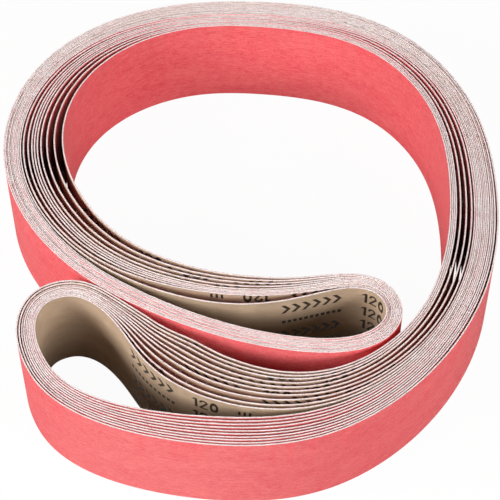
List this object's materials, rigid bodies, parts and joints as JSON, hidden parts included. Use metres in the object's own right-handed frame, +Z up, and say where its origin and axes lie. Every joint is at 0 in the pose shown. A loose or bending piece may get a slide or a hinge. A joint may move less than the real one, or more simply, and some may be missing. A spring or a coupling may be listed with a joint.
{
  "type": "sanding belt",
  "caption": "Endless abrasive cloth belts nested in one another, pressed flat and wound into one coil that stands on the belts' long edges.",
  "frame": {"origin": "middle of the coil's bounding box, in the plane that the belts' lower edges stand on", "axes": "+Z up along the belts' width; +Y away from the viewer, towards the back of the coil; +X to the viewer's right. The outer lobe is at the front left and the inner lobe ends at the front right, inside the ring"},
  "size_m": [0.3078, 0.3234, 0.075],
  "materials": {
    "abrasive_cloth": "red P120 grit on the outer side of each belt, tan woven cotton backing on its inner side, pale cut edges"
  },
  "bodies": {
    "root": {"belt_01": "abrasive_cloth", "belt_02": "abrasive_cloth", "belt_03": "abrasive_cloth", "belt_04": "abrasive_cloth", "belt_05": "abrasive_cloth", "belt_06": "abrasive_cloth", "belt_07": "abrasive_cloth", "belt_08": "abrasive_cloth", "belt_09": "abrasive_cloth", "belt_10": "abrasive_cloth"}
  },
  "joints": []
}
